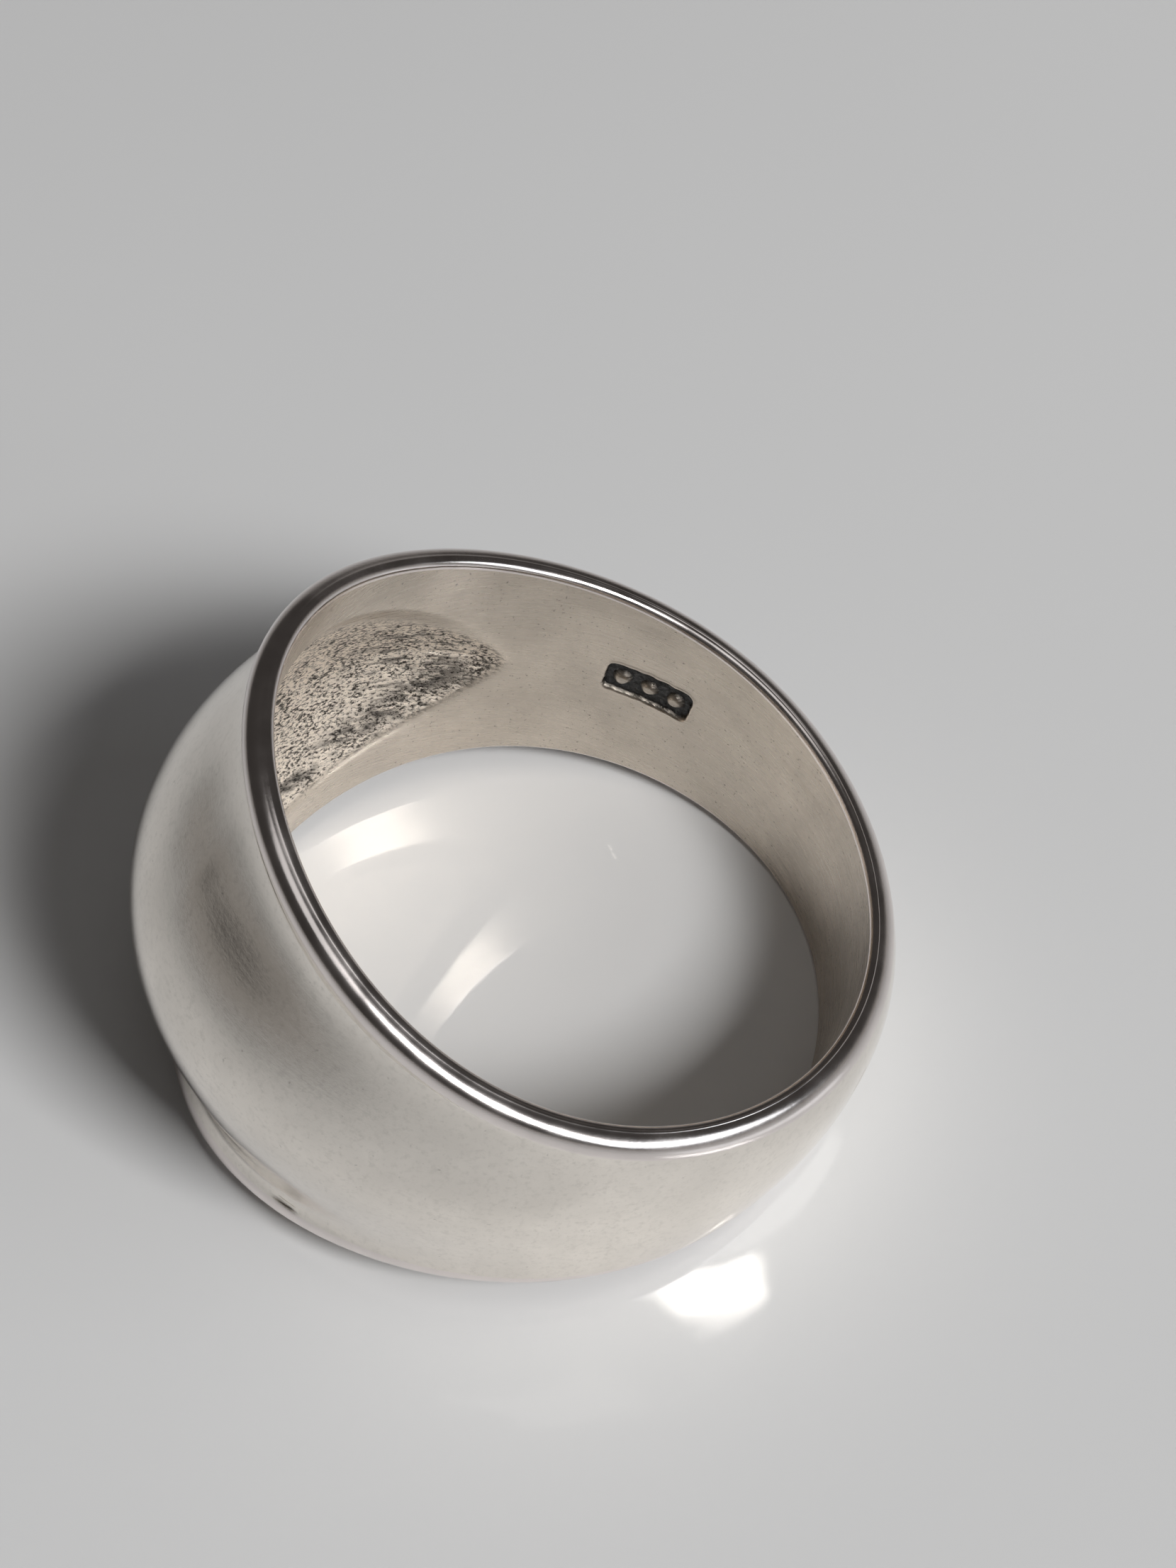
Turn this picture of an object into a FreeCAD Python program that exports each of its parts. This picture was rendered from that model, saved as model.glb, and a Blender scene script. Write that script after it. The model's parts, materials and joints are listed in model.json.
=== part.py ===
import FreeCAD, Part
import os

import Sketcher

# Hollow-backed domed signet ring, one investment casting, lying on its lower rim.
#
# Lengths are millimetres and angles are degrees. The ring is drawn round its finger bore, whose
# axis is the Z axis of each body. The dome faces -Y. Each body is then leaned back about X, so
# that the lower rim touches the plane Z = 0 under the dome and under the back of the shank.

# Driving dimensions. A wall is measured outwards from the finger bore, along a radius.
DIMENSIONS = {
    "bore_radius": 9.07,
    "casting_stock": 1.0,
    # section at the middle of the dome: half the band's width, then its walls
    "front_half_width": 7.73,
    "front_rim": 1.0,
    "front_lip": 0.62,
    "front_valley": 0.66,
    "front_slope": 2.14,
    "front_crown": 3.16,
    # section on the flank of the dome: half the band's width, then its walls
    "cheek_half_width": 7.0,
    "cheek_rim": 1.0,
    "cheek_lip": 0.65,
    "cheek_valley": 0.67,
    "cheek_slope": 1.9,
    "cheek_crown": 2.76,
    # section where the dome dies out: half the band's width, then its walls
    "shoulder_half_width": 5.48,
    "shoulder_rim": 0.97,
    "shoulder_lip": 0.74,
    "shoulder_valley": 0.72,
    "shoulder_slope": 1.33,
    "shoulder_crown": 1.79,
    # section at the side of the finger: half the band's width, then its walls
    "side_half_width": 4.22,
    "side_rim": 0.88,
    "side_lip": 0.81,
    "side_valley": 0.78,
    "side_slope": 0.86,
    "side_crown": 0.93,
    # section behind the side: half the band's width, then its walls
    "quarter_half_width": 3.44,
    "quarter_rim": 0.74,
    "quarter_lip": 0.76,
    "quarter_valley": 0.81,
    "quarter_slope": 0.89,
    "quarter_crown": 0.91,
    # section beside the back of the shank: half the band's width, then its walls
    "heel_half_width": 2.86,
    "heel_rim": 0.62,
    "heel_lip": 0.69,
    "heel_valley": 0.81,
    "heel_slope": 1.01,
    "heel_crown": 1.06,
    # section at the back of the shank: half the band's width, then its walls
    "back_half_width": 2.59,
    "back_rim": 0.58,
    "back_lip": 0.66,
    "back_valley": 0.8,
    "back_slope": 1.05,
    "back_crown": 1.1,
    # hollow behind the dome: how deep it is and how far it reaches up and down the bore wall;
    # past its ends the cutter runs out inside the bore, so its depth there is negative
    "hollow_core": 3.0,
    "middle_depth": 1.85,
    "middle_reach": 6.0,
    "shoulder_depth": 1.35,
    "shoulder_reach": 5.0,
    "corner_depth": 0.62,
    "corner_reach": 2.9,
    "end_depth": -0.5,
    "end_reach": 1.6,
    # edges of the two rim faces, inside and outside
    "bore_bevel": 0.13,
    "rim_round": 0.3,
    # punched mark in the bore wall
    "mark_angle": -111.5,
    "mark_rise": 0.35,
    "mark_length": 2.85,
    "mark_height": 1.25,
    "mark_corner": 0.3,
    "mark_depth": 0.2,
    "pip_radius": 0.29,
    "pip_pitch": 0.88,
    "oxide_thickness": 0.08,
    # how the ring lies
    "rest_tilt": 15.4,
    "rest_lift": 5.008,
    "rest_shift": 0.821,
}

# The section's outer line is drawn towards these walls, at these shares of the half width.
WALLS = ("rim", "lip", "valley", "slope", "crown")
LEVELS = (1.0, 0.9, 0.75, 0.42, 0.0)

# Angles from the middle of the dome at which the band's sections stand, in order round the bore.
STATIONS = (
    (180, "back"), (-150, "heel"), (-120, "quarter"), (-90, "side"), (-60, "shoulder"), (-30, "cheek"),
    (0, "front"), (30, "cheek"), (60, "shoulder"), (90, "side"), (120, "quarter"), (150, "heel"),
)
HOLLOW_STATIONS = (
    (-92, "end"), (-65, "corner"), (-35, "shoulder"), (0, "middle"),
    (35, "shoulder"), (65, "corner"), (92, "end"),
)

# How many half widths of the dome the bore's cutter is long
BORE_CUT = 6
# An edge this far below the lowest rim, or less, belongs to a rim
RIM_MARGIN = 0.3
# Every cutting feature takes away at least this much metal, in cubic millimetres
LEAST_CUT = 0.2


def make_sheet(doc):
    """Put every driving dimension in a named cell."""
    sheet = doc.addObject("Spreadsheet::Sheet", "sheet")
    for row, (alias, value) in enumerate(DIMENSIONS.items(), start=1):
        sheet.set("A%d" % row, alias)
        sheet.set("B%d" % row, str(value))
        sheet.setAlias("B%d" % row, alias)
    doc.recompute()
    return sheet


def origin_plane(body, role):
    """One of the body's own origin planes."""
    for feature in body.Origin.OriginFeatures:
        if feature.Role == role:
            return feature
    raise ValueError("no plane " + role)


def radial_sketch(body, name, angle):
    """A sketch whose X runs out from the bore axis at this angle from -Y, and whose Y is the axis."""
    sketch = body.newObject("Sketcher::SketchObject", name)
    sketch.AttachmentSupport = [(origin_plane(body, "XZ_Plane"), "")]
    sketch.MapMode = "FlatFace"
    turn = FreeCAD.Rotation(FreeCAD.Vector(0, 1, 0), angle - 90)
    sketch.AttachmentOffset = FreeCAD.Placement(FreeCAD.Vector(), turn)
    return sketch


def pin_point(sketch, geometry, position, place):
    """Fix a point of a sketch at a pair of (value, expression) entries."""
    for kind, (value, expression) in zip(("DistanceX", "DistanceY"), place):
        if abs(value) < 1e-9:
            line = -2 if kind == "DistanceX" else -1
            sketch.addConstraint(Sketcher.Constraint("PointOnObject", geometry, position, line))
            continue
        index = sketch.addConstraint(Sketcher.Constraint(kind, -1, 1, geometry, position, value))
        sketch.setExpression("Constraints[%d]" % index, expression)


def section_poles(name):
    """Control points of a section's outer line, from its upper rim to its lower rim.

    The first two poles lie along the rim face, so the line leaves the face in a small round.
    """
    face = DIMENSIONS["bore_radius"] + DIMENSIONS[name + "_rim"] - DIMENSIONS["rim_round"]
    face_rule = "sheet.bore_radius + sheet.%s_rim - sheet.rim_round" % name
    top = (DIMENSIONS[name + "_half_width"], "sheet.%s_half_width" % name)
    upper = [((face, face_rule), top)]
    for wall, level in zip(WALLS, LEVELS):
        radius = DIMENSIONS["bore_radius"] + DIMENSIONS[name + "_" + wall]
        height = level * DIMENSIONS[name + "_half_width"]
        across = (radius, "sheet.bore_radius + sheet.%s_%s" % (name, wall))
        along = (height, "%g * sheet.%s_half_width" % (level, name))
        upper.append((across, along))
    lower = [(across, (-along[0], "-" + along[1])) for across, along in reversed(upper[:-1])]
    return upper + lower


def band_section(body, angle, name):
    """Closed section of the band: stock inside the bore, two rim faces and the swept outer line."""
    sketch = radial_sketch(body, "section_%s_%d" % (name, angle % 360), angle)
    poles = section_poles(name)
    points = [FreeCAD.Vector(across[0], along[0], 0) for across, along in poles]
    spline = Part.BSplineCurve()
    spline.buildFromPoles(points, False, 3)
    outer = sketch.addGeometry(spline, False)
    sketch.exposeInternalGeometry(outer)
    first_circle = outer + 1
    for index, place in enumerate(poles):
        pin_point(sketch, first_circle + index, 3, place)
    stock = DIMENSIONS["bore_radius"] - DIMENSIONS["casting_stock"]
    top = FreeCAD.Vector(stock, points[0].y, 0)
    bottom = FreeCAD.Vector(stock, points[-1].y, 0)
    upper_rim = sketch.addGeometry(Part.LineSegment(top, points[0]), False)
    inner = sketch.addGeometry(Part.LineSegment(bottom, top), False)
    lower_rim = sketch.addGeometry(Part.LineSegment(points[-1], bottom), False)
    joins = (
        (upper_rim, 2, outer, 1),
        (outer, 2, lower_rim, 1),
        (lower_rim, 2, inner, 1),
        (inner, 2, upper_rim, 1),
    )
    for join in joins:
        sketch.addConstraint(Sketcher.Constraint("Coincident", *join))
    sketch.addConstraint(Sketcher.Constraint("Horizontal", upper_rim))
    sketch.addConstraint(Sketcher.Constraint("Horizontal", lower_rim))
    sketch.addConstraint(Sketcher.Constraint("Vertical", inner))
    index = sketch.addConstraint(Sketcher.Constraint("DistanceX", -1, 1, inner, 1, stock))
    sketch.setExpression("Constraints[%d]" % index, "sheet.bore_radius - sheet.casting_stock")
    return sketch


def band_loft(body):
    """The whole band with its dome, lofted once round the bore through its sections."""
    sections = [band_section(body, angle, name) for angle, name in STATIONS]
    loft = body.newObject("PartDesign::AdditiveLoft", "band_with_dome")
    loft.Profile = sections[0]
    loft.Sections = [(section, [""]) for section in sections[1:]]
    loft.Closed = True
    return loft


def finger_bore(body):
    """Round hole for the finger, cut through the casting stock."""
    sketch = body.newObject("Sketcher::SketchObject", "bore_outline")
    sketch.AttachmentSupport = [(origin_plane(body, "XY_Plane"), "")]
    sketch.MapMode = "FlatFace"
    radius = DIMENSIONS["bore_radius"]
    circle = sketch.addGeometry(Part.Circle(FreeCAD.Vector(), FreeCAD.Vector(0, 0, 1), radius), False)
    sketch.addConstraint(Sketcher.Constraint("Coincident", circle, 3, -1, 1))
    size = sketch.addConstraint(Sketcher.Constraint("Radius", circle, radius))
    sketch.setExpression("Constraints[%d]" % size, "sheet.bore_radius")
    pocket = body.newObject("PartDesign::Pocket", "finger_bore")
    pocket.Profile = sketch
    pocket.Midplane = True
    pocket.Type = "Length"
    pocket.setExpression("Length", "%d * sheet.front_half_width" % BORE_CUT)
    return pocket


def hollow_ellipse(body, name, angle, depth, reach):
    """Ellipse whose tip stands out of the bore wall by depth and meets the wall at plus and minus reach.

    Depth and reach are (value, expression) pairs. The ellipse is centred inside the bore.
    """
    core = DIMENSIONS["hollow_core"]
    centre = DIMENSIONS["bore_radius"] - core
    across = core + depth[0]
    along = reach[0] / (1 - (core / (core + abs(depth[0]))) ** 2) ** 0.5
    sketch = radial_sketch(body, name, angle)
    middle = FreeCAD.Vector(centre, 0, 0)
    tip = FreeCAD.Vector(centre, along, 0)
    side = FreeCAD.Vector(centre + across, 0, 0)
    ellipse = sketch.addGeometry(Part.Ellipse(tip, side, middle), False)
    sketch.exposeInternalGeometry(ellipse)
    long_axis = ellipse + 1
    short_axis = ellipse + 2
    sketch.addConstraint(Sketcher.Constraint("PointOnObject", ellipse, 3, -1))
    sketch.addConstraint(Sketcher.Constraint("Vertical", long_axis))
    place = sketch.addConstraint(Sketcher.Constraint("DistanceX", -1, 1, ellipse, 3, centre))
    sketch.setExpression("Constraints[%d]" % place, "sheet.bore_radius - sheet.hollow_core")
    length = sketch.addConstraint(
        Sketcher.Constraint("Distance", long_axis, 1, long_axis, 2, 2 * along))
    share = "sheet.hollow_core / (sheet.hollow_core + abs(%s))" % depth[1]
    sketch.setExpression("Constraints[%d]" % length, "2 * %s / sqrt(1 - (%s) ^ 2)" % (reach[1], share))
    width = sketch.addConstraint(
        Sketcher.Constraint("Distance", short_axis, 1, short_axis, 2, 2 * across))
    sketch.setExpression("Constraints[%d]" % width, "2 * (sheet.hollow_core + %s)" % depth[1])
    return sketch


def dome_hollow(body):
    """Shallow dish cut in the bore wall behind the dome, dying out into the wall at both ends."""
    sketches = []
    for angle, name in HOLLOW_STATIONS:
        depth = (DIMENSIONS[name + "_depth"], "sheet.%s_depth" % name)
        reach = (DIMENSIONS[name + "_reach"], "sheet.%s_reach" % name)
        sketches.append(hollow_ellipse(body, "hollow_%s_%d" % (name, angle % 360), angle, depth, reach))
    cut = body.newObject("PartDesign::SubtractiveLoft", "dome_hollow")
    cut.Profile = sketches[0]
    cut.Sections = [(sketch, [""]) for sketch in sketches[1:]]
    return cut


def edge_points(edge, count=9):
    """Points spread along an edge."""
    first, last = edge.ParameterRange
    return [edge.valueAt(first + (last - first) * step / (count - 1)) for step in range(count)]


def bore_rim_edges(shape):
    """Names of the edges where the bore wall meets the two rim faces."""
    names = []
    nearest_rim = DIMENSIONS["back_half_width"] - RIM_MARGIN
    bore = DIMENSIONS["bore_radius"]
    for number, edge in enumerate(shape.Edges, start=1):
        points = edge_points(edge)
        on_bore = all(abs((point.x ** 2 + point.y ** 2) ** 0.5 - bore) < 0.05 for point in points)
        on_rim = all(abs(point.z) > nearest_rim for point in points)
        if on_bore and on_rim:
            names.append("Edge%d" % number)
    return names


def bevel_bore(body, previous):
    """Bevel the bore's two edges."""
    bevel = body.newObject("PartDesign::Chamfer", "bore_bevel")
    bevel.Base = (previous, bore_rim_edges(previous.Shape))
    bevel.setExpression("Size", "sheet.bore_bevel")
    return bevel


def mark_outline(body, name, offset):
    """Rounded rectangle with three round islands, square to the mark's own radius of the ring.

    Its plane stands at offset from the bore axis, a (value, expression) pair.
    """
    sketch = body.newObject("Sketcher::SketchObject", name)
    sketch.AttachmentSupport = [(origin_plane(body, "XZ_Plane"), "")]
    sketch.MapMode = "FlatFace"
    turn = FreeCAD.Rotation(FreeCAD.Vector(0, 1, 0), DIMENSIONS["mark_angle"])
    middle = turn.multVec(FreeCAD.Vector(0, DIMENSIONS["mark_rise"], offset[0]))
    sketch.AttachmentOffset = FreeCAD.Placement(middle, turn)
    sketch.setExpression(".AttachmentOffset.Rotation.Angle", "sheet.mark_angle")
    sketch.setExpression(".AttachmentOffset.Base.y", "sheet.mark_rise")
    sketch.setExpression(".AttachmentOffset.Base.x", "(%s) * sin(sheet.mark_angle)" % offset[1])
    sketch.setExpression(".AttachmentOffset.Base.z", "(%s) * cos(sheet.mark_angle)" % offset[1])
    half_length = DIMENSIONS["mark_length"] / 2
    half_height = DIMENSIONS["mark_height"] / 2
    corner = DIMENSIONS["mark_corner"]
    straight = (half_length - corner, half_height - corner)
    ends = []
    for sx, sy in ((1, 1), (-1, 1), (-1, -1), (1, -1)):
        flat = FreeCAD.Vector(sx * straight[0], sy * half_height, 0)
        upright = FreeCAD.Vector(sx * half_length, sy * straight[1], 0)
        ends.append((upright, flat) if sx * sy > 0 else (flat, upright))
    for index in range(4):
        centre = FreeCAD.Vector(straight[0] * (1, -1, -1, 1)[index], straight[1] * (1, 1, -1, -1)[index], 0)
        circle = Part.Circle(centre, FreeCAD.Vector(0, 0, 1), corner)
        start = circle.parameter(ends[index][0])
        stop = circle.parameter(ends[index][1])
        sketch.addGeometry(Part.ArcOfCircle(circle, start, stop), False)
    for index in range(4):
        sketch.addGeometry(Part.LineSegment(ends[index][1], ends[(index + 1) % 4][0]), False)
    for index in range(4):
        line = 4 + index
        sketch.addConstraint(Sketcher.Constraint("Tangent", index, 2, line, 1))
        sketch.addConstraint(Sketcher.Constraint("Tangent", line, 2, (index + 1) % 4, 1))
    for line, direction in ((4, "Horizontal"), (5, "Vertical"), (6, "Horizontal"), (7, "Vertical")):
        sketch.addConstraint(Sketcher.Constraint(direction, line))
    sketch.addConstraint(Sketcher.Constraint("Equal", 0, 1))
    radius = sketch.addConstraint(Sketcher.Constraint("Radius", 0, corner))
    sketch.setExpression("Constraints[%d]" % radius, "sheet.mark_corner")
    tall = sketch.addConstraint(Sketcher.Constraint("DistanceY", -1, 1, 4, 1, half_height))
    sketch.setExpression("Constraints[%d]" % tall, "sheet.mark_height / 2")
    wide = sketch.addConstraint(Sketcher.Constraint("DistanceX", 5, 1, -1, 1, half_length))
    sketch.setExpression("Constraints[%d]" % wide, "sheet.mark_length / 2")
    sketch.addConstraint(Sketcher.Constraint("Symmetric", 0, 3, 2, 3, -1, 1))
    add_pips(sketch)
    return sketch


def add_pips(sketch):
    """Three equal circles in a row through the middle of the mark."""
    pitch = DIMENSIONS["pip_pitch"]
    for step in (-1, 0, 1):
        centre = FreeCAD.Vector(step * pitch, 0, 0)
        outline = Part.Circle(centre, FreeCAD.Vector(0, 0, 1), DIMENSIONS["pip_radius"])
        circle = sketch.addGeometry(outline, False)
        pin_point(sketch, circle, 3, ((step * pitch, "%d * sheet.pip_pitch" % step), (0, "")))
        size = sketch.addConstraint(Sketcher.Constraint("Radius", circle, DIMENSIONS["pip_radius"]))
        sketch.setExpression("Constraints[%d]" % size, "sheet.pip_radius")


def punch_mark(body):
    """Mark sunk in the bore wall, with its three pips left standing."""
    value = DIMENSIONS["bore_radius"] - DIMENSIONS["casting_stock"]
    outline = mark_outline(body, "punch_outline", (value, "sheet.bore_radius - sheet.casting_stock"))
    pocket = body.newObject("PartDesign::Pocket", "punch_mark")
    pocket.Profile = outline
    pocket.Reversed = True
    pocket.setExpression("Length", "sheet.casting_stock + sheet.mark_depth")
    return pocket


def oxide_layer(body):
    """Black skin on the floor of the punched mark, round the foot of each pip."""
    value = DIMENSIONS["bore_radius"] + DIMENSIONS["mark_depth"] - DIMENSIONS["oxide_thickness"]
    expression = "sheet.bore_radius + sheet.mark_depth - sheet.oxide_thickness"
    pad = body.newObject("PartDesign::Pad", "oxide_layer")
    pad.Profile = mark_outline(body, "oxide_outline", (value, expression))
    pad.setExpression("Length", "sheet.oxide_thickness")
    return pad


def make_casting(doc):
    """The ring itself: band, dome, finger bore, punched mark, hollow and bevelled bore edges."""
    body = doc.addObject("PartDesign::Body", "ring_casting")
    body.Label = "ring_casting"
    blank = band_loft(body)
    bore = finger_bore(body)
    mark = punch_mark(body)
    hollow = dome_hollow(body)
    doc.recompute()
    bevel = bevel_bore(body, hollow)
    doc.recompute()
    steps = [blank, bore, mark, hollow, bevel]
    for before, after in zip(steps, steps[1:]):
        if after.Shape.Volume > before.Shape.Volume - LEAST_CUT:
            raise ValueError(after.Name + " cuts nothing")
    return body


def make_oxide(doc):
    """The blackened layer in the mark, a deposit with its own material."""
    body = doc.addObject("PartDesign::Body", "punch_mark_oxide")
    body.Label = "punch_mark_oxide"
    oxide_layer(body)
    doc.recompute()
    return body


def lay_down(body):
    """Lean the body back about X and set it on the plane Z = 0."""
    about_x = FreeCAD.Rotation(FreeCAD.Vector(1, 0, 0), -DIMENSIONS["rest_tilt"])
    body.Placement = FreeCAD.Placement(FreeCAD.Vector(), about_x)
    body.setExpression(".Placement.Rotation.Angle", "-sheet.rest_tilt")
    body.setExpression(".Placement.Base.y", "sheet.rest_shift")
    body.setExpression(".Placement.Base.z", "sheet.rest_lift")


def check(doc, bodies):
    """Stop if any object failed or any sub-part is not one valid solid."""
    for item in doc.Objects:
        if "Invalid" in item.State or "Error" in item.State:
            raise RuntimeError("%s failed: %s" % (item.Name, item.State))
    for body in bodies:
        shape = body.Shape
        if shape.isNull() or not shape.isValid() or len(shape.Solids) != 1:
            raise RuntimeError(body.Label + " is not one valid solid")
        print("%s: %.2f mm3, %s" % (body.Label, shape.Volume, shape.BoundBox))


def main():
    doc = FreeCAD.newDocument("domed_ring")
    make_sheet(doc)
    bodies = [make_casting(doc), make_oxide(doc)]
    for body in bodies:
        lay_down(body)
    doc.recompute()
    check(doc, bodies)
    os.makedirs("parts", exist_ok=True)
    for body in bodies:
        body.Shape.exportStep("parts/%s.step" % body.Label)


main()
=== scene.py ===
import json
import math

import bpy
import numpy as np
from mathutils import Euler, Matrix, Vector, noise


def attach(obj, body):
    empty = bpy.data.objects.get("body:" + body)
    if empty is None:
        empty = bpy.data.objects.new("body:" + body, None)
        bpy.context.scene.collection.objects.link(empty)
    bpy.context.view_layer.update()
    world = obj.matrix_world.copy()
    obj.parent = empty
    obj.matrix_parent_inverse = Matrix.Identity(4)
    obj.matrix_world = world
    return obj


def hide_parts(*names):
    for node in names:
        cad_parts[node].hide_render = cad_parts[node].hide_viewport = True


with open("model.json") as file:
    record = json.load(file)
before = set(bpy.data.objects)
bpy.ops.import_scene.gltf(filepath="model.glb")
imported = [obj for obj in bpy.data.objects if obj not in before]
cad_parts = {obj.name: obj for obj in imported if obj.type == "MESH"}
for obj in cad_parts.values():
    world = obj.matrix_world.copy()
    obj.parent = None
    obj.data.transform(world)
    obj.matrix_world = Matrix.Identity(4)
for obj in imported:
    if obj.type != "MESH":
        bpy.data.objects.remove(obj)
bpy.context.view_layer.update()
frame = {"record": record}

# ---------------------------------------------------------------------------
# The ring's own frame: its bore axis is z, its dome faces -y, lengths are mm.
# An angle runs round the bore from the middle of the dome, towards +x.
# ---------------------------------------------------------------------------
MM = 0.001
BORE_MOUNT = next(mount for mount in frame["record"]["mounts"] if mount["name"] == "finger_bore")
BORE = BORE_MOUNT["dims"]["r_mm"]
BORE_POINT = Vector(BORE_MOUNT["pos_m"])
LEAN = math.atan2(BORE_MOUNT["axis"][1], BORE_MOUNT["axis"][2])

# Band: each law is a short cosine series in the angle round the bore. Levels and shares have
# no unit, the rest is mm.
HALF_WIDTH_LAW = (4.69, 2.39, 0.47, 0.175)
RIM_WALL_LAW = (0.835, 0.21, -0.045)
CROWN_LAW = (-0.21, -0.87)
CROWN_POWER = 2.46
RIM_ROUND_SHARE = 0.64
RIM_CROWN = 0.012
BEVEL = 0.21
LOWER_BEVEL = 0.07

# Dome
DOME_RISE = 2.97
DOME_SPREAD = 1.886
DOME_SIDE_POWER = 0.89
DOME_EDGE = 0.858
DOME_EDGE_POWER = 1.42
FLANK_DRAW = 0.012
FLANK_START = math.radians(26)
FLANK_FADE = (math.radians(40), math.radians(30))

# Hollow behind the dome
HOLLOW_DEPTH = 1.85
HOLLOW_SPAN = math.radians(84)
HOLLOW_REACH = 5.99
HOLLOW_SPAN_POWER = 1.7
HOLLOW_REACH_POWER = 1.43
HOLLOW_BOWL = 1.4
HOLLOW_LIP = 0.07

# Punched mark: a rounded bar with three pips left standing in it
MARK_ANGLE = math.radians(-111.5)
MARK_RISE = 0.35
MARK_HALF_LENGTH = 1.42
MARK_HALF_HEIGHT = 0.62
MARK_CORNER = 0.28
MARK_DEPTH = 0.2
PIP_PITCH = 0.88
PIP_RADIUS = 0.29
PIP_OVERSHOOT = 1.25
MARK_WALL_RUN = 0.14
MARK_MARGIN = 0.6
STRIKE_TREMBLE = 0.05
STRIKE_TREMBLE_SIZE = 0.30
BURR_HEIGHT = 0.02
BURR_WIDTH = 0.05

# Black deposit in the mark
OXIDE_FILL = 0.09
OXIDE_EDGE_RISE = 0.04
OXIDE_BELOW = 0.05
OXIDE_GAP = 0.01
OXIDE_SOOT = 0.93

# Where the polishing wheel reached in over the upper lip of the hollow
BUFFED_REACH = 0.34
BUFFED_HEIGHT = 2.5

# Dark residue: how deep in the hollow its band lies and how wide it is; the angles round the
# bore where the band and the drawn lines start, each with its run; and how dark each is.
# Below the faintest share nothing is worked out.
SOOT_LEVEL = 0.40
SOOT_WIDTH = 0.20
SOOT_START = (math.radians(20), math.radians(25))
SOOT_END = (math.radians(50), math.radians(14))
SOOT_SHARE = 0.85
SOOT_LINES = 0.7
FAINTEST = 0.02

# Cast skin: relief in mm, and the angle where its drag lines start, with its run
GRAIN_RELIEF = 0.016
DRAG_RELIEF = 0.07
DRAG_START = (math.radians(52), math.radians(20))

# Mesh density
ROUND_STEPS = 900
MARK_STEPS = 130
OUTER_STEPS = 150
CORNER_STEPS = 16
RIM_STEPS = 8
BEVEL_STEPS = 11
BORE_STEPS = 170


def series(law, angle):
    """Sum of a cosine series in the angle."""
    return sum(share * np.cos(order * angle) for order, share in enumerate(law))


def half_width(angle):
    return series(HALF_WIDTH_LAW, angle)


def outer_wall(angle, level):
    """Wall from the bore to the outer face; level is -1 at the lower rim and 1 at the upper."""
    wall = series(RIM_WALL_LAW, angle)
    wall = wall + series(CROWN_LAW, angle) * (1 - np.abs(level) ** CROWN_POWER)
    side = np.clip(np.pi * angle / (2 * DOME_SPREAD), -np.pi / 2, np.pi / 2)
    round_bore = np.cos(side) ** (2 * DOME_SIDE_POWER)
    # the dome's foot draws in on its flanks and widens again towards the shank
    fade = 1 - smooth_step((np.abs(angle) - FLANK_FADE[0]) / FLANK_FADE[1])
    edge = DOME_EDGE - FLANK_DRAW * smooth_step(np.abs(angle) / FLANK_START) * fade
    along_bore = np.clip(1 - (level / edge) ** 2, 0, 1) ** DOME_EDGE_POWER
    return wall + DOME_RISE * round_bore * along_bore


# Hand-finished unevenness of the outer face: a broad sway and a finer ripple all over it, in
# mm, soft swells, as (angle, height, angle spread, height spread, rise in mm), and nicks, as
# (angle, height, length, width, slant, depth in mm)
SWAY_RISE = 0.010
RIPPLE_RISE = 0.0022
SWELLS = (
    (24.0, 4.5, 13.0, 1.3, -0.075),
    (6.0, 4.9, 6.0, 1.0, -0.06),
    (14.0, 3.7, 2.6, 0.9, 0.038),
    (36.0, -3.4, 7.0, 1.2, 0.03),
)
NICKS = (
    (48.6, -5.22, 0.40, 0.075, 0.25, 0.06),
    (-20.0, 1.6, 0.30, 0.05, -0.6, 0.03),
    (150.0, 0.9, 0.25, 0.05, 0.9, 0.03),
)


def finish_marks(angle, height):
    """Rise of the swells less the depth of the nicks."""
    rise = 0.0
    for middle, level, spread, tall, amount in SWELLS:
        across = (np.degrees(angle) - middle) / spread
        rise = rise + amount * np.exp(-across ** 2 - ((height - level) / tall) ** 2)
    for middle, level, length, width, slant, depth in NICKS:
        along = (angle - math.radians(middle)) * BORE
        off = height - level - slant * along
        rise = rise - depth * np.exp(-(along / length) ** 4 - (off / width) ** 2)
    return rise


def hollow_signed(angle, height):
    """Depth of the hollow, negative outside its outline."""
    span = (np.abs(angle) / HOLLOW_SPAN) ** HOLLOW_SPAN_POWER
    reach = (np.abs(height) / HOLLOW_REACH) ** HOLLOW_REACH_POWER
    out = span + reach
    inside = 1 - np.minimum(out, 1) ** HOLLOW_BOWL
    outside = -HOLLOW_BOWL * (out - 1)
    return HOLLOW_DEPTH * np.where(out < 1, inside, outside)


def soft_positive(value, width):
    """A ramp that starts at zero with a soft lip of this width."""
    return 0.5 * (value + np.sqrt(value * value + width * width))


def smooth_step(value):
    value = np.clip(value, 0, 1)
    return value * value * (3 - 2 * value)


def mark_distance(along, up):
    """Distance to the edge of the mark, negative inside it."""
    across = np.abs(along) - (MARK_HALF_LENGTH - MARK_CORNER)
    tall = np.abs(up) - (MARK_HALF_HEIGHT - MARK_CORNER)
    outside = np.hypot(np.maximum(across, 0), np.maximum(tall, 0))
    return outside + np.minimum(np.maximum(across, tall), 0) - MARK_CORNER


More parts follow.
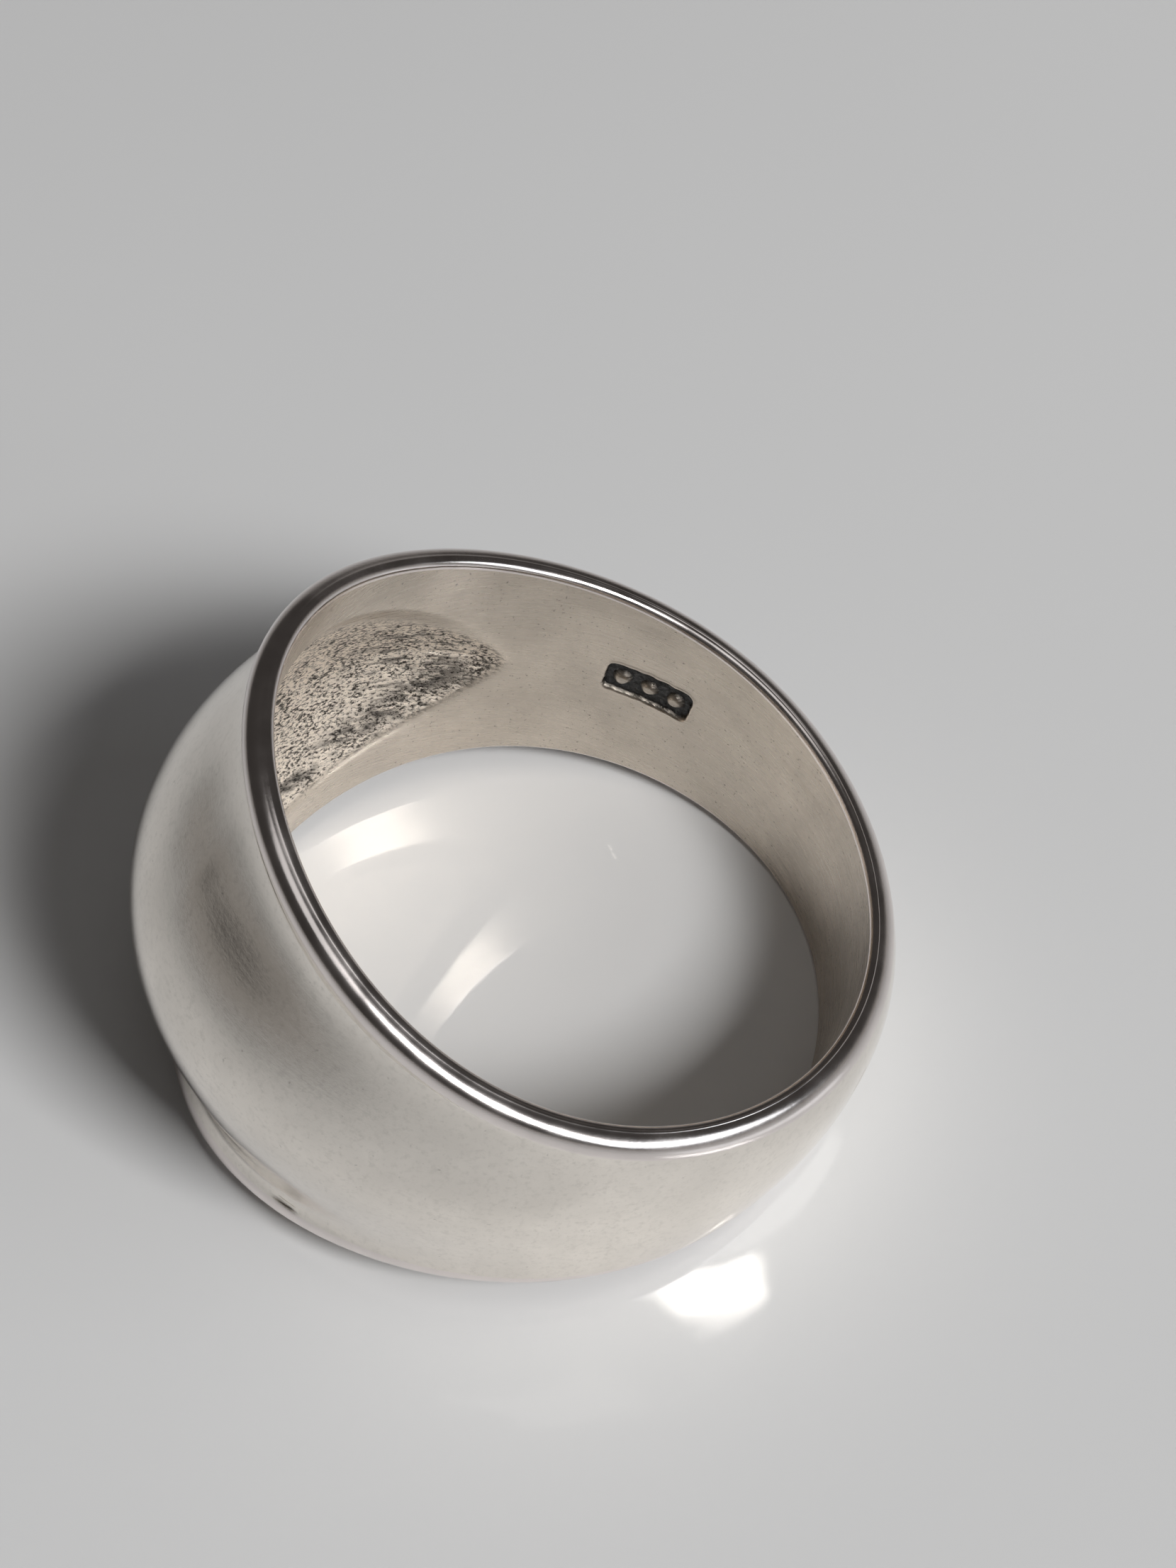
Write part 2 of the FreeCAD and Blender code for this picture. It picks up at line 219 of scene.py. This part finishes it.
def mark_depth(along, up):
    """How deep the punched mark is, with its pips standing and a low burr round it."""
    flat = flat_points(along, up)
    tremble = lumps(flat.reshape(-1, 3), size=STRIKE_TREMBLE_SIZE, seed=10).reshape(along.shape)
    tremble = STRIKE_TREMBLE * tremble
    distance = mark_distance(along, up) + tremble
    depth = MARK_DEPTH * smooth_step(-distance / MARK_WALL_RUN + 0.2)
    worn = np.zeros(along.shape)
    for step in (-1, 0, 1):
        from_pip = np.hypot(along - step * PIP_PITCH, up) + 0.7 * tremble
        pip = smooth_step((PIP_RADIUS * 1.5 - from_pip) / (PIP_RADIUS * 1.1))
        depth = depth - PIP_OVERSHOOT * MARK_DEPTH * pip
        worn = worn + smooth_step((PIP_RADIUS * 1.05 - from_pip) / (PIP_RADIUS * 0.5))
    burr = BURR_HEIGHT * np.exp(-((distance - BURR_WIDTH) / BURR_WIDTH) ** 2)
    black = smooth_step(-distance / 0.08 + 0.3) * (1 - 0.75 * worn)
    return depth - burr, black


def lumps(points, size, seed):
    """Smooth noise at each point, about -1 to 1, with lumps of this size in mm."""
    shift = Vector((17.3 * seed, 5.1 * seed, 9.7 * seed))
    values = [noise.noise(Vector(point) / size + shift) for point in points]
    return np.array(values)


def flat_points(along, up):
    """Points on the unrolled bore wall, for noise."""
    return np.stack([along, up, np.zeros_like(up)], axis=-1)


def ring_point(angle, radius, height):
    """Points in the ring's own frame."""
    return np.stack([radius * np.sin(angle), -radius * np.cos(angle), height], axis=-1)


def to_world(points):
    """From the ring's own frame in mm to the CAD frame in metres."""
    cos_lean = math.cos(LEAN)
    sin_lean = math.sin(LEAN)
    x = points[..., 0]
    y = points[..., 1] * cos_lean + points[..., 2] * sin_lean
    z = -points[..., 1] * sin_lean + points[..., 2] * cos_lean
    return np.stack([x, y, z], axis=-1) * MM + np.array(BORE_POINT)


# ---------------------------------------------------------------------------
# The casting
# ---------------------------------------------------------------------------
def angle_grid():
    """Angles round the bore, closer together at the punched mark."""
    even = np.linspace(-np.pi, np.pi, ROUND_STEPS, endpoint=False)
    reach = (MARK_HALF_LENGTH + 0.3) / BORE
    close = np.linspace(MARK_ANGLE - reach, MARK_ANGLE + reach, MARK_STEPS)
    away = even[np.abs(even - MARK_ANGLE) > reach * 1.02]
    return np.sort(np.concatenate([away, close]))


def outer_part(angle):
    """Outer face and its two rounded corners, from the lower rim to the upper."""
    half = half_width(angle)
    rim_round = RIM_ROUND_SHARE * series(RIM_WALL_LAW, angle)
    turn = np.linspace(0, np.pi / 2, CORNER_STEPS)
    lower = np.stack([-half + rim_round * (1 - np.cos(t)) for t in turn], axis=1)
    lower_cut = np.stack([rim_round * (1 - np.sin(t)) for t in turn], axis=1)
    share = np.linspace(-1, 1, OUTER_STEPS + 2)[1:-1]
    face = np.stack([s * (half - rim_round) for s in share], axis=1)
    height = np.concatenate([lower, face, -lower[:, ::-1]], axis=1)
    cut = np.concatenate([lower_cut, np.zeros_like(face), lower_cut[:, ::-1]], axis=1)
    level = height / half[:, None]
    radius = BORE + outer_wall(angle[:, None], level) - cut
    radius = radius + finish_marks(angle[:, None], height)
    wide = np.repeat(angle[:, None], radius.shape[1], axis=1)
    skin = ring_point(wide, radius, height).reshape(-1, 3)
    swell = SWAY_RISE * lumps(skin, size=3.6, seed=6) + RIPPLE_RISE * lumps(skin, size=1.3, seed=7)
    return radius + swell.reshape(radius.shape), height


def rim_part(angle, outer_radius, bevel):
    """Upper rim's face, from its outer corner to the bevel. The lower rim's is its mirror."""
    share = np.linspace(0, 1, RIM_STEPS + 2)[1:-1]
    half = half_width(angle)
    stop = BORE + bevel
    radius = np.stack([outer_radius + (stop - outer_radius) * s for s in share], axis=1)
    height = np.stack([half + RIM_CROWN * (1 - (2 * s - 1) ** 2) for s in share], axis=1)
    return radius, height


def bevel_part(angle, bevel):
    """Worn inner edge of the upper rim, a small round down to the bore. The lower is its mirror."""
    half = half_width(angle)
    turn = np.linspace(0, np.pi / 2, BEVEL_STEPS)
    radius = np.stack([np.full_like(half, BORE + bevel * (1 - np.sin(t))) for t in turn], axis=1)
    height = np.stack([half - bevel * (1 - np.cos(t)) for t in turn], axis=1)
    return radius, height


def bore_part(angle):
    """Bore wall from the upper bevel to the lower, with the hollow and the mark sunk in it."""
    half = half_width(angle)
    share = np.linspace(0, 1, BORE_STEPS + 2)[1:-1]
    height = np.stack([(half - BEVEL) * (1 - s) - (half - LOWER_BEVEL) * s for s in share], axis=1)
    wide = np.repeat(angle[:, None], BORE_STEPS, axis=1)
    signed = hollow_signed(wide, height)
    hollow = soft_positive(signed, HOLLOW_LIP)
    # the polishing wheel reached further in over the upper lip than over the lower
    buffed = BUFFED_REACH * smooth_step(height / BUFFED_HEIGHT)
    cast = smooth_step((signed + 0.02 - buffed) / (0.2 + 0.5 * buffed))
    plain = ring_point(wide, BORE + hollow, height)
    hollow = hollow + cast_skin(plain, wide, height, cast)
    along = (wide - MARK_ANGLE) * BORE
    near_along = np.abs(along) < MARK_HALF_LENGTH + MARK_MARGIN
    near_up = np.abs(height - MARK_RISE) < MARK_HALF_HEIGHT + MARK_MARGIN
    near = near_along & near_up
    mark = np.zeros(wide.shape)
    black = np.zeros(wide.shape)
    mark[near], black[near] = mark_depth(along[near], height[near] - MARK_RISE)
    soot = soot_streak(wide, signed, height) * cast + OXIDE_SOOT * black
    return BORE + hollow + mark, height, cast, soot


def soot_streak(angle, signed, height):
    """Dark residue drawn out along the lower side of the hollow, towards its ends."""
    band = np.exp(-((signed - SOOT_LEVEL) / SOOT_WIDTH) ** 2) * smooth_step(-height / 0.7)
    band = band * smooth_step((np.abs(angle) - SOOT_START[0]) / SOOT_START[1])
    soot = np.zeros(signed.shape)
    near = band > FAINTEST
    along = angle[near] * BORE
    coarse = lumps(flat_points(along / 4, height[near]), size=0.5, seed=8)
    fine = lumps(flat_points(along / 3, height[near]), size=0.13, seed=9)
    patch = coarse + 0.8 * fine
    soot[near] = SOOT_SHARE * band[near] * smooth_step((patch + 0.55) / 0.9)
    end = smooth_step((np.abs(angle) - SOOT_END[0]) / SOOT_END[1]) * smooth_step(signed / 0.1)
    dragged = end > FAINTEST
    along = angle[dragged] * BORE
    lines = lumps(flat_points(along / 7, height[dragged]), size=0.11, seed=11)
    drawn = SOOT_LINES * end[dragged] * smooth_step((lines - 0.08) / 0.25)
    soot[dragged] = np.maximum(soot[dragged], drawn)
    return soot


def cast_skin(points, angle, height, cast):
    """Grainy relief of the unpolished hollow, with drag lines towards its ends."""
    relief = np.zeros(cast.shape)
    rough = cast > 0.01
    skin = points[rough]
    grain = GRAIN_RELIEF * lumps(skin, size=0.42, seed=1) + GRAIN_RELIEF * lumps(skin, size=0.19, seed=2)
    stretched = flat_points(angle[rough] * BORE / 6, height[rough])
    end = smooth_step((np.abs(angle[rough]) - DRAG_START[0]) / DRAG_START[1])
    drag = DRAG_RELIEF * np.abs(lumps(stretched, size=0.15, seed=3)) * end
    relief[rough] = (grain * (1 - 0.5 * end) + drag) * cast[rough]
    return relief


def make_casting():
    """The whole ring as one closed grid round the bore and round its section."""
    angle = angle_grid()
    outer_r, outer_z = outer_part(angle)
    rim_r, rim_z = rim_part(angle, outer_r[:, -1], BEVEL)
    bevel_r, bevel_z = bevel_part(angle, BEVEL)
    low_rim_r, low_rim_z = rim_part(angle, outer_r[:, 0], LOWER_BEVEL)
    low_bevel_r, low_bevel_z = bevel_part(angle, LOWER_BEVEL)
    bore_r, bore_z, cast, soot = bore_part(angle)
    parts = [
        (outer_r[:, :CORNER_STEPS], outer_z[:, :CORNER_STEPS], "rim"),
        (outer_r[:, CORNER_STEPS:-CORNER_STEPS], outer_z[:, CORNER_STEPS:-CORNER_STEPS], "outer"),
        (outer_r[:, -CORNER_STEPS:], outer_z[:, -CORNER_STEPS:], "rim"),
        (rim_r, rim_z, "rim"),
        (bevel_r, bevel_z, "rim"),
        (bore_r, bore_z, "bore"),
        (low_bevel_r[:, ::-1], -low_bevel_z[:, ::-1], "rim"),
        (low_rim_r[:, ::-1], -low_rim_z[:, ::-1], "rim"),
    ]
    radius = np.concatenate([part[0] for part in parts], axis=1)
    height = np.concatenate([part[1] for part in parts], axis=1)
    regions = []
    for part_radius, _, region in parts:
        regions += [region] * part_radius.shape[1]
    masks = {}
    for name, values in (("cast", cast), ("soot", soot)):
        share = [values if part[2] == "bore" else np.zeros(part[0].shape) for part in parts]
        masks[name] = np.concatenate(share, axis=1)
    wide = np.repeat(angle[:, None], radius.shape[1], axis=1)
    points = to_world(ring_point(wide, radius, height))
    return grid_mesh("ring_visual", points, masks, regions)


def grid_mesh(name, points, masks, regions):
    """Closed grid mesh with its point attributes and one material slot per region."""
    rows, columns = points.shape[:2]
    index = np.arange(rows * columns).reshape(rows, columns)
    right = np.roll(index, -1, axis=0)
    up = np.roll(index, -1, axis=1)
    corner = np.roll(right, -1, axis=1)
    quads = np.stack([index, right, corner, up], axis=-1).reshape(-1, 4)
    mesh = bpy.data.meshes.new(name)
    mesh.vertices.add(rows * columns)
    mesh.vertices.foreach_set("co", points.reshape(-1).astype(np.float32))
    mesh.loops.add(quads.size)
    mesh.loops.foreach_set("vertex_index", quads.reshape(-1).astype(np.int32))
    mesh.polygons.add(len(quads))
    mesh.polygons.foreach_set("loop_start", np.arange(0, quads.size, 4, dtype=np.int32))
    order = {"outer": 0, "bore": 1, "rim": 2}
    column_slot = np.array([order[region] for region in regions], dtype=np.int32)
    slots = np.tile(column_slot, rows)
    mesh.polygons.foreach_set("material_index", slots)
    mesh.update(calc_edges=True)
    mesh.polygons.foreach_set("use_smooth", np.ones(len(quads), dtype=bool))
    for mask_name, mask in masks.items():
        attribute = mesh.attributes.new(mask_name, "FLOAT", "POINT")
        attribute.data.foreach_set("value", mask.reshape(-1).astype(np.float32))
    mesh.validate()
    piece = bpy.data.objects.new(name, mesh)
    bpy.context.scene.collection.objects.link(piece)
    return piece


# ---------------------------------------------------------------------------
# The black deposit in the mark
# ---------------------------------------------------------------------------
OXIDE_COLUMNS = 120
OXIDE_ROWS = 56


def make_oxide():
    """A thin lumpy crust lying in the mark round its pips, closed underneath."""
    along = np.linspace(-1, 1, OXIDE_COLUMNS)
    up = np.linspace(-1, 1, OXIDE_ROWS)
    u, v = np.meshgrid(along, up, indexing="ij")
    # squeeze the square grid into the mark's rounded outline
    squeeze = 1 - 0.10 * (u ** 6) * (v ** 6)
    along_mm = u * (MARK_HALF_LENGTH - OXIDE_GAP) * squeeze
    up_mm = v * (MARK_HALF_HEIGHT - OXIDE_GAP) * squeeze
    flat = flat_points(along_mm, up_mm).reshape(-1, 3)
    crust = 0.030 * lumps(flat, size=0.22, seed=4) + 0.018 * lumps(flat, size=0.09, seed=5)
    crust = crust.reshape(u.shape)
    edge = np.maximum(np.abs(u) ** 8, np.abs(v) ** 8)
    top_depth = MARK_DEPTH - OXIDE_FILL + crust + OXIDE_EDGE_RISE * edge
    bottom_depth = np.full(u.shape, MARK_DEPTH + OXIDE_BELOW)
    angle = MARK_ANGLE + along_mm / BORE
    top = to_world(ring_point(angle, BORE + top_depth, up_mm + MARK_RISE))
    bottom = to_world(ring_point(angle, BORE + bottom_depth, up_mm + MARK_RISE))
    return slab_mesh("punch_mark_oxide_visual", top, bottom)


def slab_mesh(name, top, bottom):
    """Closed mesh between two grids of the same size."""
    rows, columns = top.shape[:2]
    count = rows * columns
    index = np.arange(count).reshape(rows, columns)
    quads = []
    for i in range(rows - 1):
        for j in range(columns - 1):
            a, b, c, d = index[i, j], index[i + 1, j], index[i + 1, j + 1], index[i, j + 1]
            quads.append((a, b, c, d))
            quads.append((d + count, c + count, b + count, a + count))
    sides = (index[:, 0], index[-1, 1:], index[-2::-1, -1], index[0, -2:0:-1])
    border = [corner for side in sides for corner in side]
    for a, b in zip(border, border[1:] + border[:1]):
        quads.append((b, a, a + count, b + count))
    mesh = bpy.data.meshes.new(name)
    points = np.concatenate([top.reshape(-1, 3), bottom.reshape(-1, 3)])
    mesh.from_pydata(points.tolist(), [], [[int(i) for i in quad] for quad in quads])
    mesh.update()
    mesh.polygons.foreach_set("use_smooth", np.ones(len(mesh.polygons), dtype=bool))
    piece = bpy.data.objects.new(name, mesh)
    bpy.context.scene.collection.objects.link(piece)
    return piece


# ---------------------------------------------------------------------------
# Materials
# ---------------------------------------------------------------------------
class Nodes:
    """Short-hand for building one material's node tree."""

    def __init__(self, name):
        self.material = bpy.data.materials.new(name)
        self.material.use_nodes = True
        self.tree = self.material.node_tree
        self.shader = self.tree.nodes["Principled BSDF"]

    def add(self, kind, **settings):
        node = self.tree.nodes.new(kind)
        for key, value in settings.items():
            setattr(node, key, value)
        return node

    def link(self, source, target):
        self.tree.links.new(source, target)

    def ring_vector(self, stretch=(1, 1, 1)):
        """Object coordinates turned into the ring's own frame, stretched along its axes."""
        place = self.add("ShaderNodeTexCoord")
        turn = self.add("ShaderNodeMapping", vector_type="POINT")
        turn.inputs["Rotation"].default_value = (LEAN, 0, 0)
        scale = self.add("ShaderNodeMapping", vector_type="POINT")
        scale.inputs["Scale"].default_value = stretch
        self.link(place.outputs["Object"], turn.inputs["Vector"])
        self.link(turn.outputs["Vector"], scale.inputs["Vector"])
        return scale.outputs["Vector"]

    def noise(self, vector, size, detail=2.0, roughness=0.5):
        """Noise with lumps of about this size in mm."""
        node = self.add("ShaderNodeTexNoise")
        node.inputs["Scale"].default_value = 1 / (size * MM)
        node.inputs["Detail"].default_value = detail
        node.inputs["Roughness"].default_value = roughness
        self.link(vector, node.inputs["Vector"])
        return node.outputs["Fac"]

    def ramp(self, source, low, high, start=0.0, stop=1.0):
        """Maps start..stop of the source to low..high."""
        node = self.add("ShaderNodeMapRange")
        for name, value in (("From Min", start), ("From Max", stop), ("To Min", low), ("To Max", high)):
            node.inputs[name].default_value = value
        self.link(source, node.inputs["Value"])
        return node.outputs["Result"]

    def maths(self, operation, first, second):
        node = self.add("ShaderNodeMath", operation=operation)
        for socket, value in zip(node.inputs, (first, second)):
            if isinstance(value, (int, float)):
                socket.default_value = value
            else:
                self.link(value, socket)
        return node.outputs[0]

    def blend(self, share, first, second):
        """Mix of two colours, each a socket or a tuple."""
        node = self.add("ShaderNodeMix", data_type="RGBA")
        self.link(share, node.inputs["Factor"])
        for name, value in (("A", first), ("B", second)):
            socket = [item for item in node.inputs if item.name == name and item.type == "RGBA"][0]
            if isinstance(value, tuple):
                socket.default_value = value
            else:
                self.link(value, socket)
        return [item for item in node.outputs if item.type == "RGBA"][0]

    def bump(self, height, distance, normal=None):
        """Bump with its relief in mm."""
        node = self.add("ShaderNodeBump")
        node.inputs["Distance"].default_value = distance * MM
        self.link(height, node.inputs["Height"])
        if normal is not None:
            self.link(normal, node.inputs["Normal"])
        return node.outputs["Normal"]


def grey(value, tint=(1, 1, 1)):
    """A tinted grey of this brightness, opaque."""
    return (value * tint[0], value * tint[1], value * tint[2], 1)


SILVER_TINT = (1.0, 0.945, 0.872)
RIM_TINT = (1.0, 0.93, 0.90)
BORE_TINT = (1.0, 0.895, 0.775)
DIRT_TINT = (1.0, 0.84, 0.70)
SOOT_TINT = (1.0, 0.92, 0.88)
FLOOR_TINT = (1.0, 0.998, 0.996)


def polished_silver():
    """Buffed outer face: mirror gloss under fine mottling, faint smudges and hairline scratches."""
    nodes = Nodes("silver_polished")
    shader = nodes.shader
    shader.inputs["Metallic"].default_value = 1.0
    plain = nodes.ring_vector()
    haze = nodes.noise(plain, size=2.2, detail=4.0, roughness=0.6)
    hazy = nodes.ramp(haze, low=0, high=1, start=0.35, stop=0.7)
    colour = nodes.blend(hazy, grey(0.80, SILVER_TINT), grey(0.90, SILVER_TINT))
    mottle = nodes.noise(plain, size=0.20, detail=4.0, roughness=0.7)
    mottled = nodes.ramp(mottle, low=0, high=0.75, start=0.50, stop=0.70)
    colour = nodes.blend(mottled, colour, grey(0.70, SILVER_TINT))
    speck = nodes.noise(plain, size=0.16, detail=2.0, roughness=0.5)
    specked = nodes.ramp(speck, low=0, high=0.4, start=0.70, stop=0.78)
    colour = nodes.blend(specked, colour, grey(0.30, SILVER_TINT))
    nodes.link(colour, shader.inputs["Base Color"])
    smear = nodes.noise(plain, size=1.1, detail=5.0, roughness=0.65)
    nodes.link(nodes.ramp(smear, low=0.055, high=0.15, start=0.3, stop=0.75), shader.inputs["Roughness"])
    lines = nodes.noise(nodes.ring_vector((1, 1, 14)), size=1.6, detail=3.0, roughness=0.6)
    cross = nodes.noise(nodes.ring_vector((9, 9, 1)), size=1.4, detail=3.0, roughness=0.6)
    scratches = nodes.maths("ADD", lines, cross)
    scratched = nodes.bump(scratches, distance=0.0014)
    nodes.link(nodes.bump(mottle, distance=0.0030, normal=scratched), shader.inputs["Normal"])
    return nodes.material


def rim_silver():
    """Rounded rims: satin from handling, with a fine grit over them."""
    nodes = Nodes("silver_rim")
    shader = nodes.shader
    shader.inputs["Metallic"].default_value = 1.0
    plain = nodes.ring_vector()
    haze = nodes.noise(plain, size=1.4, detail=4.0, roughness=0.6)
    hazy = nodes.ramp(haze, low=0, high=1, start=0.35, stop=0.7)
    colour = nodes.blend(hazy, grey(0.80, RIM_TINT), grey(0.90, RIM_TINT))
    nodes.link(colour, shader.inputs["Base Color"])
    nodes.link(nodes.ramp(haze, low=0.16, high=0.26, start=0.3, stop=0.75), shader.inputs["Roughness"])
    grit = nodes.noise(plain, size=0.12, detail=3.0, roughness=0.6)
    nodes.link(nodes.bump(grit, distance=0.0016), shader.inputs["Normal"])
    return nodes.material


def bore_silver():
    """Bore wall: satin lines round the finger, pits, and the raw cast skin of the hollow."""
    nodes = Nodes("silver_bore")
    shader = nodes.shader
    shader.inputs["Metallic"].default_value = 1.0
    cast = nodes.add("ShaderNodeAttribute", attribute_name="cast").outputs["Fac"]
    soot = nodes.add("ShaderNodeAttribute", attribute_name="soot").outputs["Fac"]
    plain = nodes.ring_vector()
    brushed = nodes.noise(nodes.ring_vector((1, 1, 30)), size=2.8, detail=6.0, roughness=0.72)
    cloud = nodes.noise(plain, size=2.4, detail=4.0, roughness=0.6)
    cloudy = nodes.ramp(cloud, low=0, high=1, start=0.3, stop=0.7)
    # Painted shade: the satin colour is kept much darker than the outer and rim silver, standing in for
    # the shade inside the bore; its cloudy variation is the wall's own tone.
    satin = nodes.blend(cloudy, grey(0.54, BORE_TINT), grey(0.68, BORE_TINT))
    pit = nodes.noise(plain, size=0.11, detail=2.0, roughness=0.5)
    pitted = nodes.ramp(pit, low=0, high=0.6, start=0.66, stop=0.74)
    satin = nodes.blend(pitted, satin, grey(0.12, BORE_TINT))
    grain = nodes.noise(nodes.ring_vector((1, 1, 1.9)), size=0.15, detail=4.0, roughness=0.75)
    patches = nodes.noise(plain, size=0.9, detail=3.0, roughness=0.6)
    level = nodes.maths("ADD", grain, nodes.ramp(patches, low=-0.05, high=0.05, start=0.3, stop=0.7))
    dirt = nodes.ramp(level, low=0, high=1, start=0.41, stop=0.53)
    raw = nodes.blend(dirt, grey(0.05, DIRT_TINT), grey(0.88, BORE_TINT))
    base = nodes.blend(cast, satin, raw)
    colour = nodes.blend(soot, base, grey(0.022, SOOT_TINT))
    nodes.link(colour, shader.inputs["Base Color"])
    satin_rough = nodes.ramp(brushed, low=0.20, high=0.36, start=0.3, stop=0.7)
    raw_rough = nodes.ramp(grain, low=0.60, high=0.36, start=0.3, stop=0.7)
    step = nodes.maths("MULTIPLY", nodes.maths("SUBTRACT", raw_rough, satin_rough), cast)
    nodes.link(nodes.maths("ADD", satin_rough, step), shader.inputs["Roughness"])
    line_relief = nodes.bump(brushed, distance=0.006)
    grain_height = nodes.maths("MULTIPLY", grain, nodes.maths("MAXIMUM", cast, soot))
    nodes.link(nodes.bump(grain_height, distance=0.05, normal=line_relief), shader.inputs["Normal"])
    return nodes.material


def black_oxide():
    """Dull black crust with a few greyer, glossier flecks."""
    nodes = Nodes("oxide_black")
    shader = nodes.shader
    plain = nodes.ring_vector()
    fleck = nodes.noise(plain, size=0.12, detail=3.0, roughness=0.6)
    colour = nodes.blend(nodes.ramp(fleck, low=0, high=1, start=0.55, stop=0.75), grey(0.008), grey(0.05))
    nodes.link(colour, shader.inputs["Base Color"])
    nodes.link(nodes.ramp(fleck, low=0.45, high=0.16, start=0.4, stop=0.7), shader.inputs["Roughness"])
    nodes.link(nodes.bump(fleck, distance=0.05), shader.inputs["Normal"])
    return nodes.material


def table_top():
    """Pale glossy floor with a faint orange peel."""
    nodes = Nodes("pale_floor")
    shader = nodes.shader
    place = nodes.add("ShaderNodeTexCoord")
    peel = nodes.noise(place.outputs["Object"], size=1.5, detail=2.0, roughness=0.5)
    tone = nodes.noise(place.outputs["Object"], size=60.0, detail=2.0, roughness=0.5)
    colour = nodes.blend(tone, grey(0.71, FLOOR_TINT), grey(0.76, FLOOR_TINT))
    nodes.link(colour, shader.inputs["Base Color"])
    nodes.link(nodes.ramp(peel, low=0.03, high=0.06, start=0.3, stop=0.7), shader.inputs["Roughness"])
    nodes.link(nodes.bump(peel, distance=0.001), shader.inputs["Normal"])
    return nodes.material


# ---------------------------------------------------------------------------
# Stage, light and camera
# ---------------------------------------------------------------------------
def make_floor():
    bpy.ops.mesh.primitive_plane_add(size=3.0, location=(0, 0, 0))
    floor = bpy.context.object
    floor.name = "floor"
    floor.data.materials.append(table_top())


ROOM = (0.036, 0.033, 0.031, 1)
HORIZON = (0.24, 0.23, 0.22, 1)
HORIZON_TOP = 0.20


def make_world():
    """Dim warm room that is lighter low down, where its pale walls meet the table."""
    world = bpy.data.worlds.new("room")
    world.use_nodes = True
    tree = world.node_tree
    place = tree.nodes.new("ShaderNodeTexCoord")
    parts = tree.nodes.new("ShaderNodeSeparateXYZ")
    fall = tree.nodes.new("ShaderNodeMapRange")
    fall.interpolation_type = "SMOOTHSTEP"
    fall.inputs["From Max"].default_value = HORIZON_TOP
    mix = tree.nodes.new("ShaderNodeMix")
    mix.data_type = "RGBA"
    low, high = [item for item in mix.inputs if item.type == "RGBA"]
    low.default_value = HORIZON
    high.default_value = ROOM
    mixed = [item for item in mix.outputs if item.type == "RGBA"][0]
    tree.links.new(place.outputs["Generated"], parts.inputs["Vector"])
    tree.links.new(parts.outputs["Z"], fall.inputs["Value"])
    tree.links.new(fall.outputs["Result"], mix.inputs["Factor"])
    tree.links.new(mixed, tree.nodes["Background"].inputs["Color"])
    bpy.context.scene.world = world


def set_tone():
    """Plain tone curve, so that the silver keeps its contrast."""
    bpy.context.scene.view_settings.view_transform = "Standard"


def soft_light(name, azimuth, elevation, distance, size, power, colour=(1, 1, 1)):
    """Area light that faces the ring. Azimuth runs from +X towards +Y, in degrees."""
    data = bpy.data.lights.new(name, "AREA")
    data.shape = "RECTANGLE"
    data.size = size[0]
    data.size_y = size[1]
    data.energy = power
    data.color = colour
    light = bpy.data.objects.new(name, data)
    flat = math.cos(math.radians(elevation))
    place = Vector((
        flat * math.cos(math.radians(azimuth)),
        flat * math.sin(math.radians(azimuth)),
        math.sin(math.radians(elevation)),
    )) * distance
    light.location = place
    light.rotation_euler = place.to_track_quat("Z", "Y").to_euler()
    bpy.context.scene.collection.objects.link(light)


# The camera's place in mm from the CAD origin, its turn in degrees, and its lens in mm
CAMERA_PLACE_MM = (47.89, 2.97, 77.53)
CAMERA_TURN = (35.85, 1.63, 88.61)
CAMERA_LENS = 68.9
CAMERA_SENSOR = 36.0


def make_camera():
    data = bpy.data.cameras.new("camera")
    data.lens = CAMERA_LENS
    data.sensor_width = CAMERA_SENSOR
    data.clip_start = 0.001
    camera = bpy.data.objects.new("camera", data)
    camera.location = Vector(CAMERA_PLACE_MM) * MM
    camera.rotation_euler = Euler([math.radians(turn) for turn in CAMERA_TURN])
    bpy.context.scene.collection.objects.link(camera)
    bpy.context.scene.camera = camera


SKY = (0.90, 0.95, 1.0)


def make_lights():
    soft_light("window", azimuth=47, elevation=44, distance=1.0, size=(0.32, 0.28), power=8.4)
    soft_light("sky", azimuth=66, elevation=24, distance=1.0, size=(0.90, 0.30), power=2.0, colour=SKY)
    soft_light("ceiling", azimuth=40, elevation=78, distance=1.5, size=(0.8, 0.8), power=1.3)


ring = make_casting()
for finish in (polished_silver, bore_silver, rim_silver):
    ring.data.materials.append(finish())
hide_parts("ring_casting")
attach(ring, "root")

oxide = make_oxide()
oxide.data.materials.append(black_oxide())
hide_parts("punch_mark_oxide")
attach(oxide, "root")

make_floor()
make_world()
set_tone()
make_lights()
make_camera()
